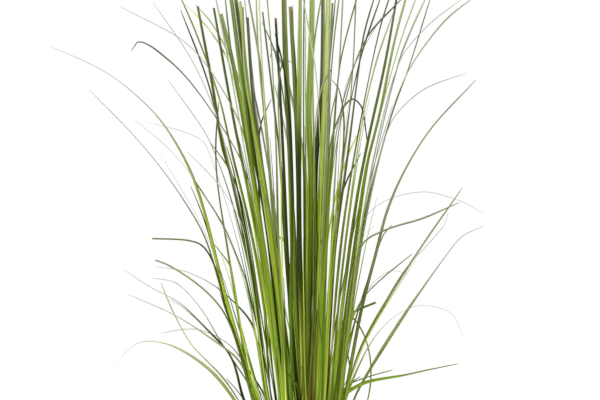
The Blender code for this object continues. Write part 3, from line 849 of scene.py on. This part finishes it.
def blade_growth():
    """Sweeps a thin folded section along each guide, and rolls it up where the leaf is a sheath."""
    g = Growth("leaf_blades", (
        ("Thickness", "Float", None),
        ("Wrap", "Float", None),
        ("Keel roundness", "Float", 1.25),
        ("Ripple", "Float", None),
        ("Ripple scale", "Float", 38.0),
        ("Ripple breadth", "Float", 2.5 * MM),
        ("Leaf", "Material", None),
    ))
    use = g.use

    def named(name, kind="FLOAT"):
        return g.get("GeometryNodeInputNamedAttribute", {"data_type": kind}, {"Name": name})

    def stored(geometry, name, value, kind="FLOAT"):
        return g.get("GeometryNodeStoreNamedAttribute", {"data_type": kind, "domain": "POINT"},
                     {"Geometry": geometry, "Name": name, "Value": value})

    guides = g.get("GeometryNodeMeshToCurve", inputs={"Mesh": use("Geometry")})
    guides = stored(guides, "spine", g.get("GeometryNodeInputPosition"), "FLOAT_VECTOR")
    guides = stored(guides, "ahead", g.get("GeometryNodeInputTangent"), "FLOAT_VECTOR")
    ring = g.get("GeometryNodeCurvePrimitiveCircle", {"mode": "RADIUS"},
                 {"Resolution": RING_POINTS, "Radius": MM})
    ring = stored(ring, "turn", g.get("GeometryNodeInputIndex") / float(RING_POINTS))
    swept = g.get("GeometryNodeCurveToMesh",
                  inputs={"Curve": guides, "Profile Curve": ring, "Fill Caps": True})

    # Each point of the ring is one of the blade's two faces, at its own share of the way to the edge.
    turn = named("turn")
    side = abs(2.0 * turn - 1.0) * 2.0 - 1.0
    upper = g.maths("SIGN", 0.5 - turn)
    bulge = g.maths("SQRT", g.clamped(1.0 - side * side))
    spine, ahead, to_left, to_right = (
        named(name, "FLOAT_VECTOR") for name in ("spine", "ahead", "to_left", "to_right"))
    half = (to_right - to_left) * 0.5
    rise = (to_right + to_left) * 0.5

    # The section is a folded blade, a sheath round the shoot, or something between the two.
    wrap = named("wrap")
    angle = side * use("Wrap")
    power = use("Keel roundness")
    sine, cosine = g.maths("SINE", angle), g.maths("COSINE", angle)
    sideways = g.mix(wrap, side, sine)
    inward = g.mix(wrap, abs(side) ** power, 1.0 - cosine)
    slope_sideways = g.mix(wrap, 1.0, cosine * use("Wrap"))
    fold_slope = g.maths("SIGN", side) * abs(side) ** (power - 1.0) * power
    slope_inward = g.mix(wrap, fold_slope, sine * use("Wrap"))
    slope = half * slope_sideways + rise * slope_inward
    outward = g.vector_maths("NORMALIZE", g.vector_maths("CROSS_PRODUCT", ahead, slope))

    waves = g.get("ShaderNodeTexNoise",
                  inputs={"Vector": spine, "Scale": use("Ripple scale"), "Detail": 1.0})
    breadth = g.clamped(g.vector_maths("LENGTH", half, output=1) / use("Ripple breadth"))
    ripple = (waves - 0.5) * use("Ripple") * side * (1.0 - wrap) * breadth
    place = spine + half * sideways + rise * inward
    place = place + outward * (upper * bulge * use("Thickness") * 0.5 + ripple)
    shaped = g.get("GeometryNodeSetPosition", inputs={"Geometry": swept, "Position": place})
    shaped = stored(shaped, "side", side)
    for name in ("spine", "ahead", "to_left", "to_right", "turn"):
        shaped = g.get("GeometryNodeRemoveAttribute", inputs={"Geometry": shaped, "Name": name})
    g.end(g.get("GeometryNodeSetShadeSmooth", inputs={"Geometry": shaped}), "Leaf")
    return g


def leaf_finish(look):
    f = Finish("grass_leaf")
    height = f.get("ShaderNodeSeparateXYZ", inputs={"Vector": f.place()}, output="Z") - SOIL_TOP
    mark, side, along, run = (f.attribute(name) for name in ("mark", "side", "along", "run"))

    def lane(across, lengthways):
        """Coordinates on the leaf itself, which differ from leaf to leaf."""
        return f.get("ShaderNodeCombineXYZ", inputs={"X": side * across, "Y": run * lengthways,
                                                     "Z": mark * 57.0})

    # Light and dark along the blade: bands, streaks, patches and veins of the leaf's own tone, and painted
    # shade that makes one half of the folded blade lighter than the other.
    bands = f.cloud(lane(2.1, 0.9), 1.0, 1.0, 0.5)
    streaks = f.cloud(lane(5.5, 3.0), 1.0, 2.0, 0.6)
    patches = f.cloud(lane(1.2, 22.0), 1.0, 4.0, 0.6)
    half = f.smooth(side, -0.22, 0.22) - 0.5
    fold_shade_lean = f.maths("FRACT", mark * 7.3) - 0.5
    veins = f.maths("SINE", side * 44.0) * 0.5 + 0.5
    rib = f.smooth(abs(side), 0.10, 0.03)
    margin = f.smooth(abs(side), 0.78, 0.96) * (1.0 - f.attribute("wrap"))

    # Painted light: brighter at the foot of the clump near its middle, as if the leaves passed light on to
    # one another there, and a little brighter in the open above.
    inside = f.smooth(f.vector_maths("LENGTH", f.place() * (1.0, 1.0, 0.0), output=1), 0.085, 0.03)
    low = f.smooth(height, 0.42, 0.10) * (0.55 + inside)
    high = f.smooth(height, 0.32, 0.58)
    shade = (0.22 + bands * 0.95 + streaks * 0.62 + half * fold_shade_lean * 1.3) * (0.50 + patches)
    shade = shade * (1.0 + veins * 0.12 + rib * 0.30 + margin * 0.45 + low * 0.66 + high * 0.12)
    shade = shade * 1.35 / (1.0 + shade * 0.35)

    # The leaf's own tone, warmer in patches, yellower low down and faded high up. It is also paler where the
    # painted light and streaks make it brightest, as a painted highlight.
    body = f.attribute("tone", "Color") * shade
    body = f.blend(f.smooth(patches, 0.50, 0.75), body, body * (1.15, 1.0, 0.85))
    body = body * f.blend(f.smooth(height, 0.22, 0.52), (1.12, 1.16, 0.84), (1.02, 1.03, 1.0))
    grey = f.get("ShaderNodeRGBToBW", inputs={"Color": body})
    faded = f.get("ShaderNodeCombineColor", inputs={"Red": grey, "Green": grey * 1.06, "Blue": grey * 0.76})
    fading = f.smooth(height, 0.40, 0.74) * 0.42 + f.smooth(shade, 1.0, 1.8) * 0.14
    body = f.blend(f.clamped(fading), body, faded)
    flecks = f.cloud(lane(6.0, 90.0), 1.0, 2.0, 0.5)
    body = f.blend(f.smooth(flecks, 0.68, 0.78) * 0.22, body, look.straw)

    # Pale or stained sheaths at the foot, and dry tips.
    sheath = f.smooth(height, 0.10, 0.015)
    stain = f.smooth(mark + patches * 0.5, 0.55, 1.05)
    body = f.blend(sheath * 0.7, body, f.blend(stain, look.sage, look.bronze))
    dry = f.smooth(along, 0.985, 1.0) * f.attribute("cut") * f.smooth(mark, 0.1, 0.8)
    withered = f.smooth(along, 0.93, 1.0) * f.smooth(mark, 0.75, 0.95)
    body = f.blend(f.clamped(dry + withered) * 0.28, body, look.straw)

    roughness = 0.48 + patches * 0.20 + f.attribute("old") * 0.25
    normal = f.bump(patches, 0.12 * MM, f.bump(veins, 0.04 * MM))
    return f.close(body, roughness, normal, Specular_IOR_Level=0.035)


class POTTED_GRASS_OT_shoots(bpy.types.Operator):
    """Grow every shoot of the clump: a sheath that parts into two leaves, a young leaf and a husk"""

    bl_idname = "potted_grass.shoots"
    bl_label = "Shoots"

    def execute(self, context):
        look = context.scene.grass
        growth = blade_growth()
        values = {"Thickness": look.thickness, "Wrap": look.wrap, "Ripple": look.ripple,
                  "Leaf": leaf_finish(look)}
        rng = random.Random(look.seed)
        for node in SHOOT_NODES:
            pair = sorted((finely(stations) for stations in read_shoot(node)),
                          key=lambda leaf: leaf[0][-1].middle().x)
            (first, fork_one), (second, fork_two) = pair
            side, number = node.split("_shoot_")
            words = LEAF_TONES[side][int(number) - 1]
            broad = BROAD_LEAVES.get(node, (1.0, 1.0))
            strips = [
                main_strip(first, fork_one, False, words[0], broad[0], look, rng),
                main_strip(second, fork_two, True, words[1], broad[1], look, rng),
                inner_strip(first, second, fork_one, look, rng),
                husk_strip(first, look, rng),
            ]
            mesh = growth.run(guide_mesh(strips, rng), values)
            add_piece(node + "_leaves", mesh, None, "leaf", node)
        return {"FINISHED"}


# How many steps a rounded corner has, and how much longer than its rounding a side is at least.
CORNER_STEPS = 5
SIDE_TO_REACH = 2.2


def rounded(profile, radius):
    """Rounds the corners of a profile of (radius, height) points."""
    points = [Vector(point) for point in profile]
    made = [points[0]]
    for before, corner, after in zip(points, points[1:], points[2:]):
        one, two = (before - corner), (after - corner)
        reach = min(radius, one.length / SIDE_TO_REACH, two.length / SIDE_TO_REACH)
        start, end = corner + one.normalized() * reach, corner + two.normalized() * reach
        for i in range(CORNER_STEPS + 1):
            t = i / CORNER_STEPS
            made.append(start.lerp(corner, t).lerp(corner.lerp(end, t), t))
    made.append(points[-1])
    return made


TURN_STEPS = 144
SHARP_ANGLE = math.radians(50)
LEAST_RADIUS = 0.01 * MM

# The fine rings that throwing leaves, so many to a metre, from just above the base up.
THROW_RINGS = 105.0
THROW_DEPTH = 0.10 * MM
THROW_START = 8 * MM
THROW_RISE = 20 * MM

PROFILE_STEP = 2.5 * MM
EDGE_SOFTNESS = 1.6
DRAIN_SIDES = 32
SPECK_COLOR = (0.20, 0.075, 0.04)


def ring_of(bm, radius, heights):
    """Corners in a circle round Z, one at each of the heights."""
    angles = [math.tau * i / len(heights) for i in range(len(heights))]
    return [bm.verts.new((radius * math.cos(angle), radius * math.sin(angle), height))
            for angle, height in zip(angles, heights)]


def closed_mesh(bm, name):
    """A closed shape as a smooth mesh whose faces point outwards."""
    bmesh.ops.recalc_face_normals(bm, faces=bm.faces)
    mesh = mesh_of(bm, name)
    mesh.shade_smooth()
    return mesh


def turned_mesh(name, profile, steps):
    """Turns a profile round Z. Points on the axis close into poles."""
    bm = bmesh.new()
    rings = []
    for radius, height in profile:
        if radius < LEAST_RADIUS:
            rings.append([bm.verts.new((0.0, 0.0, height))] * steps)
        else:
            rings.append(ring_of(bm, radius, [height] * steps))
    for low, high in zip(rings, rings[1:]):
        for i in range(steps):
            corners = []
            for corner in (low[i], low[i - steps + 1], high[i - steps + 1], high[i]):
                if corner not in corners:
                    corners.append(corner)
            bm.faces.new(corners)
    return closed_mesh(bm, name)


def inner_radius(height):
    low, high = BASE_RADIUS - WALL, RIM_RADIUS - WALL
    return low + (high - low) * (height - FLOOR) / (POT_HEIGHT - FLOOR)


def pot_profile(rounding):
    low_rim = POT_HEIGHT - RIM_DEPTH
    outline = [
        (0.0, FLOOR),
        (inner_radius(FLOOR), FLOOR),
        (inner_radius(POT_HEIGHT), POT_HEIGHT),
        (RIM_RADIUS, POT_HEIGHT),
        (RIM_RADIUS - RIM_TAPER, low_rim),
        (NECK_RADIUS, low_rim),
        (BASE_RADIUS, 0.0),
        (0.0, 0.0),
    ]
    rounded_outline = rounded(outline, rounding * EDGE_SOFTNESS)
    fine = []
    for a, b in zip(rounded_outline, rounded_outline[1:]):
        steps = max(1, round((b - a).length / PROFILE_STEP))
        fine += [a.lerp(b, i / steps) for i in range(steps)]
    fine.append(rounded_outline[-1])
    return fine


def thrown(profile):
    """The profile with the rings that throwing leaves."""
    made = []
    for point in profile:
        wave = math.sin(point.y * THROW_RINGS * math.tau) * THROW_DEPTH
        edge = min(1.0, point.x / BASE_RADIUS)
        made.append((point.x + wave * edge * smooth_step((point.y - THROW_START) / THROW_RISE), point.y))
    return made


def drained(mesh):
    """The pot with its drain holes cut through the floor."""
    bm = bmesh.new()
    for number in range(DRAIN_HOLES):
        angle = math.tau * (number + 0.5) / DRAIN_HOLES
        place = (DRAIN_CIRCLE * math.cos(angle), DRAIN_CIRCLE * math.sin(angle), FLOOR / 2)
        bmesh.ops.create_cone(bm, cap_ends=True, segments=DRAIN_SIDES, radius1=DRAIN_RADIUS,
                              radius2=DRAIN_RADIUS, depth=FLOOR * 2, matrix=Matrix.Translation(place))
    cutter = placed("drain_cutter", mesh_of(bm, "drain_cutter"))
    whole = placed("whole_pot", mesh)
    cut = whole.modifiers.new("drain holes", "BOOLEAN")
    cut.operation = "DIFFERENCE"
    cut.object = cutter
    made = plain_mesh(whole)
    bpy.data.objects.remove(whole)
    bpy.data.objects.remove(cutter)
    made.set_sharp_from_angle(angle=SHARP_ANGLE)
    return made


def clay_finish(look):
    f = Finish("fired_clay")
    place = f.place()
    height = f.get("ShaderNodeSeparateXYZ", inputs={"Vector": place}, output="Z")
    broad = f.cloud(place, 14.0, 4.0, 0.6)
    fine = f.cloud(place, 240.0, 3.0, 0.6)
    bands = f.cloud(f.stretched(place, (6.0, 6.0, 90.0)), 1.0, 3.0, 0.6)
    body = f.blend(f.smooth(broad, 0.3, 0.7) * 0.5, look.clay, toned(look.clay, 0.72))
    body = f.blend(f.smooth(bands, 0.45, 0.75) * 0.28, body, toned(look.clay, 1.35))

    # Lime gathers at the foot, under the rim and in patches.
    low = f.smooth(height + (broad - 0.5) * 0.07, 0.055, 0.0)
    under_rim = f.smooth(abs(height + (broad - 0.5) * 0.012 - (POT_HEIGHT - RIM_DEPTH - 4 * MM)), 0.014, 0.0)
    lime = f.clamped(low * 0.8 + under_rim * 0.5 + f.smooth(broad, 0.60, 0.80) * 0.35)
    lime = lime * f.smooth(fine, 0.35, 0.65)
    body = f.blend(lime * 0.75, body, look.bloom)
    specks = f.smooth(f.cloud(place, 620.0, 1.0, 0.5), 0.68, 0.74)
    body = f.blend(specks * 0.55, body, SPECK_COLOR)
    normal = f.bump(fine, 0.25 * MM, f.bump(bands, 0.5 * MM))
    return f.close(body, 0.80 + fine * 0.14, normal, Specular_IOR_Level=0.3)


class POTTED_GRASS_OT_pot(bpy.types.Operator):
    """Turn the clay pot, with its rim and drain holes"""

    bl_idname = "potted_grass.pot"
    bl_label = "Pot"

    def execute(self, context):
        look = context.scene.clay_pot
        mesh = drained(turned_mesh("clay_pot", thrown(pot_profile(look.rounding)), TURN_STEPS))
        add_piece("clay_pot", mesh, clay_finish(look), "clay", "pot")
        return {"FINISHED"}


# The compost's surface: a little under its solid's top, with lumps and finer grain, so many to a metre.
SOIL_RINGS = 56
SOIL_STEPS = 176
SURFACE_DROP = 1.5 * MM
LUMP_SCALE = 28.0
GRAIN_SCALE = 190.0
GRAIN_SHARE = 0.45
NOISE_STEPS = 3
EDGE_START = 0.9
EDGE_RELIEF = 0.4
SIDE_GAP = 0.5 * MM
OPEN_EDGE = 1.4
LEAST_FACING = 0.2
CRUMB_SEED = 3


def soil_height(radius, angle, relief):
    """The soil's surface: a low crown, with lumps and grain that are lower at the pot's wall."""
    drop = SOIL_EDGE_DROP * (radius / SOIL_RADIUS) ** 2
    place = Vector((radius * math.cos(angle), radius * math.sin(angle), 0.0))
    lumps = noise.fractal(place * LUMP_SCALE, 1.0, 2.0, NOISE_STEPS) * relief
    grain = noise.fractal(place * GRAIN_SCALE, 1.0, 2.0, NOISE_STEPS) * relief * GRAIN_SHARE
    inside = 1.0 - step_between(radius / SOIL_RADIUS, EDGE_START, 1.0)
    return SOIL_TOP - SURFACE_DROP - drop + (lumps + grain) * (EDGE_RELIEF + (1.0 - EDGE_RELIEF) * inside)


def soil_mesh(relief):
    bm = bmesh.new()
    top = bm.verts.new((0.0, 0.0, soil_height(0.0, 0.0, relief)))
    bottom = bm.verts.new((0.0, 0.0, SOIL_BOTTOM))
    angles = [math.tau * i / SOIL_STEPS for i in range(SOIL_STEPS)]
    rings = []
    for number in range(1, SOIL_RINGS + 1):
        radius = SOIL_RADIUS * number / SOIL_RINGS
        rings.append(ring_of(bm, radius, [soil_height(radius, angle, relief) for angle in angles]))
    rings.append(ring_of(bm, inner_radius(SOIL_BOTTOM) - SIDE_GAP, [SOIL_BOTTOM] * SOIL_STEPS))
    for inner, outer in zip(rings, rings[1:]):
        for i in range(SOIL_STEPS):
            bm.faces.new((inner[i], outer[i], outer[i - SOIL_STEPS + 1], inner[i - SOIL_STEPS + 1]))
    for i in range(SOIL_STEPS):
        bm.faces.new((top, rings[0][i], rings[0][i - SOIL_STEPS + 1]))
        bm.faces.new((bottom, rings[-1][i - SOIL_STEPS + 1], rings[-1][i]))
    return closed_mesh(bm, "compost")


def soil_finish(look):
    f = Finish("compost")
    place = f.place()
    coarse = f.cloud(place, 130.0, 5.0, 0.65)
    fine = f.cloud(place, 900.0, 3.0, 0.6)
    body = f.blend(f.smooth(coarse, 0.45, 0.70), look.peat, look.bark)
    body = f.blend(f.smooth(fine, 0.62, 0.72) * 0.6, body, toned(look.bark, 1.5))
    return f.close(body, 0.86 + fine * 0.12, f.bump(coarse, 1.2 * MM, f.bump(fine, 0.4 * MM)))


def crumb_finish(look):
    """Mostly peat, then bark from dark to pale, and a few grains of grit."""
    f = Finish("compost_crumbs")
    kind = f.attribute("kind")
    grain = f.cloud(f.place(), 700.0, 3.0, 0.6)
    stops = ((0.0, look.peat), (0.45, toned(look.bark, 0.6)), (0.80, look.bark),
             (0.93, toned(look.bark, 1.8)))
    body = f.get("ShaderNodeValToRGB", {"stops": stops}, {"Fac": kind})
    body = f.blend(f.smooth(kind, 0.955, 0.965), body, look.grit)
    body = f.blend(f.smooth(grain, 0.45, 0.7) * 0.4, body, look.peat)
    return f.close(body, 0.85 + grain * 0.12, f.bump(grain, 0.3 * MM))


def crumb_growth():
    """Strews crumbs of many sizes over a surface."""
    g = Growth("crumbs", (
        ("Density", "Float", None),
        ("Crumb radius", "Float", None),
        ("Least radius", "Float", 0.25 * MM),
        ("Seed", "Int", None),
        ("Crumb", "Material", None),
    ))
    use = g.use

    def drawn(low, high, shift, kind="FLOAT"):
        index = {"FLOAT": (2, 3, 1), "FLOAT_VECTOR": (0, 1, 0)}[kind]
        return g.get("FunctionNodeRandomValue", {"data_type": kind},
                     {index[0]: low, index[1]: high, "Seed": use("Seed") + shift}, output=index[2])

    points = g.get("GeometryNodeDistributePointsOnFaces", {"distribute_method": "RANDOM"},
                   {"Mesh": use("Geometry"), "Density": use("Density"), "Seed": use("Seed")})
    pebble = g.get("GeometryNodeMeshIcoSphere", inputs={"Radius": 1.0, "Subdivisions": 1})
    dents = g.get("ShaderNodeTexNoise", inputs={"Vector": g.get("GeometryNodeInputPosition"), "Scale": 1.1})
    pebble = g.get("GeometryNodeSetPosition", inputs={
        "Geometry": pebble, "Offset": g.get("GeometryNodeInputNormal") * ((dents - 0.5) * 0.9)})
    size = drawn(0.15, 1.0, 1.0) ** 2.2 * use("Crumb radius") + use("Least radius")
    shape = drawn((0.75, 0.55, 0.35), (1.5, 1.0, 0.8), 2.0, "FLOAT_VECTOR")
    spin = drawn((-0.5, -0.5, -3.2), (0.5, 0.5, 3.2), 4.0, "FLOAT_VECTOR")
    laid = g.get("GeometryNodeInstanceOnPoints", inputs={
        "Points": points, "Instance": pebble, "Rotation": spin, "Scale": shape * size})
    laid = g.get("GeometryNodeStoreNamedAttribute", {"data_type": "FLOAT", "domain": "INSTANCE"},
                 {"Geometry": laid, "Name": "kind", "Value": drawn(0.0, 1.0, 5.0)})
    g.end(laid, "Crumb")
    return g


def open_surface(mesh, radius):
    """The top of the soil out to a radius, for what is strewn on it."""
    bm = bmesh.new()
    bm.from_mesh(mesh)
    hidden = [face for face in bm.faces
              if face.normal.z < LEAST_FACING or face.calc_center_median().xy.length > radius]
    bmesh.ops.delete(bm, geom=hidden, context="FACES")
    return mesh_of(bm, "soil_surface")


class POTTED_GRASS_OT_soil(bpy.types.Operator):
    """Fill the pot with compost and strew its crumbs"""

    bl_idname = "potted_grass.soil"
    bl_label = "Soil"

    def execute(self, context):
        look = context.scene.compost
        mesh = soil_mesh(look.roughness)
        add_piece("compost", mesh, soil_finish(look), "soil", "soil")
        growth = crumb_growth()
        finish = crumb_finish(look)
        strewn = (("compost_crumbs", look.density, look.crumb), ("bark_chips", look.chips, look.chip))
        for number, (name, density, radius) in enumerate(strewn):
            crumbs = growth.run(open_surface(mesh, SOIL_RADIUS - radius * OPEN_EDGE), {
                "Density": density, "Crumb radius": radius, "Seed": CRUMB_SEED + number, "Crumb": finish})
            add_piece(name, crumbs, None, "soil")
        return {"FINISHED"}


WHITE = (1.0, 1.0, 1.0, 1.0)
SKY_COLOR = (1.0, 1.0, 0.97, 1.0)
CLUMP_MIDDLE = (0.0, 0.0, 0.5)
FLOOR_SIDES = 96
FLOOR_GAP = 0.2 * MM

# Each light's place, its size and its share of the key light's power.
LIGHTS = {
    "key": ((-3.0, -2.0, 1.9), (1.2, 1.2), 1.0),
    "rim": ((2.6, 1.4, 1.6), (1.0, 1.6), 0.25),
    "fill": ((2.0, -3.2, 0.8), (2.0, 2.0), 0.32),
}


def floor_finish(look):
    """A pale floor that fades into the white backdrop away from the pot."""
    f = Finish("studio_floor")
    spread = f.vector_maths("LENGTH", f.place(), output=1)
    surface = f.get("ShaderNodeBsdfPrincipled", inputs={"Base Color": (*look.floor, 1.0), "Roughness": 0.7})
    glow = f.get("ShaderNodeEmission", inputs={"Color": WHITE, "Strength": 1.0})
    mixed = f.get("ShaderNodeMixShader", inputs={0: f.smooth(spread, 0.25, 1.5), 1: surface, 2: glow})
    f.node("ShaderNodeOutputMaterial", inputs={"Surface": mixed})
    return f.material


def add_camera():
    lens = bpy.data.cameras.new("camera")
    lens.sensor_width = 36.0
    lens.lens = lens.sensor_width * EYE_DISTANCE / FRAME_WIDTH
    camera = placed("camera", lens)
    camera.location = (EYE_ACROSS, -EYE_DISTANCE, EYE_HEIGHT)
    camera.rotation_euler = (math.radians(90), 0.0, 0.0)
    bpy.context.scene.camera = camera


def set_backdrop(scene, sky):
    """White to the camera, and to the plant a soft light that is stronger from above."""
    world = scene.world or bpy.data.worlds.new("backdrop")
    scene.world = world
    world.use_nodes = True
    w = Graph(world.node_tree)
    direction = w.get("ShaderNodeTexCoord", output="Generated")
    up = w.get("ShaderNodeSeparateXYZ", inputs={"Vector": direction}, output="Z")
    strength = w.mix(w.smooth(up, -0.6, 0.9), sky * 0.55, sky * 1.25)
    ambient = w.get("ShaderNodeBackground", inputs={"Color": SKY_COLOR, "Strength": strength})
    white = w.get("ShaderNodeBackground", inputs={"Color": WHITE, "Strength": 1.0})
    eye = w.get("ShaderNodeLightPath", output="Is Camera Ray")
    w.node("ShaderNodeOutputWorld", inputs={
        "Surface": w.get("ShaderNodeMixShader", inputs={0: eye, 1: ambient, 2: white})})


def add_light(name, place, size, power):
    data = bpy.data.lights.new(name, "AREA")
    data.shape = "RECTANGLE"
    data.size, data.size_y = size
    data.energy = power
    light = placed(name, data)
    light.location = place
    light.rotation_euler = (Vector(CLUMP_MIDDLE) - Vector(place)).to_track_quat("-Z", "Y").to_euler()


def add_floor(look):
    bm = bmesh.new()
    bmesh.ops.create_circle(bm, cap_ends=True, segments=FLOOR_SIDES, radius=look.floor_radius)
    mesh = mesh_of(bm, "studio_floor")
    mesh.transform(Matrix.Translation((0.0, 0.0, -FLOOR_GAP)))
    mesh.materials.append(floor_finish(look))
    floor = placed("studio_floor", mesh)
    floor.visible_diffuse = False
    floor.visible_glossy = False


class POTTED_GRASS_OT_studio(bpy.types.Operator):
    """Set the camera, the soft lights, the white backdrop and the floor"""

    bl_idname = "potted_grass.studio"
    bl_label = "Studio"

    def execute(self, context):
        look = context.scene.grass_studio
        add_camera()
        set_backdrop(context.scene, look.sky)
        for name, (place, size, share) in LIGHTS.items():
            add_light(name, place, size, look.key * share)
        add_floor(look)
        context.scene.view_settings.view_transform = "Standard"
        context.scene.view_settings.look = "None"
        return {"FINISHED"}


# The name of each group of settings in the scene, with the operator that reads it.
SECTIONS = {
    "clay_pot": (PotSettings, POTTED_GRASS_OT_pot),
    "compost": (SoilSettings, POTTED_GRASS_OT_soil),
    "grass": (GrassSettings, POTTED_GRASS_OT_shoots),
    "grass_studio": (StudioSettings, POTTED_GRASS_OT_studio),
}


class POTTED_GRASS_PT_panel(bpy.types.Panel):
    bl_idname = "POTTED_GRASS_PT_panel"
    bl_label = "Potted Grass Clump"
    bl_space_type = "VIEW_3D"
    bl_region_type = "UI"
    bl_category = "Grass"

    def draw(self, context):
        for section, (settings, operator) in SECTIONS.items():
            box = self.layout.box()
            box.operator(operator.bl_idname)
            for name in settings.__annotations__:
                box.prop(getattr(context.scene, section), name)


def register():
    for section, (settings, operator) in SECTIONS.items():
        bpy.utils.register_class(settings)
        bpy.utils.register_class(operator)
        setattr(bpy.types.Scene, section, bpy.props.PointerProperty(type=settings))
    bpy.utils.register_class(POTTED_GRASS_PT_panel)


def unregister():
    bpy.utils.unregister_class(POTTED_GRASS_PT_panel)
    for section, (settings, operator) in reversed(SECTIONS.items()):
        delattr(bpy.types.Scene, section)
        bpy.utils.unregister_class(operator)
        bpy.utils.unregister_class(settings)


def main():
    register()
    bpy.ops.potted_grass.pot()
    bpy.ops.potted_grass.soil()
    bpy.ops.potted_grass.shoots()
    bpy.ops.potted_grass.studio()


if __name__ == "__main__":
    main()
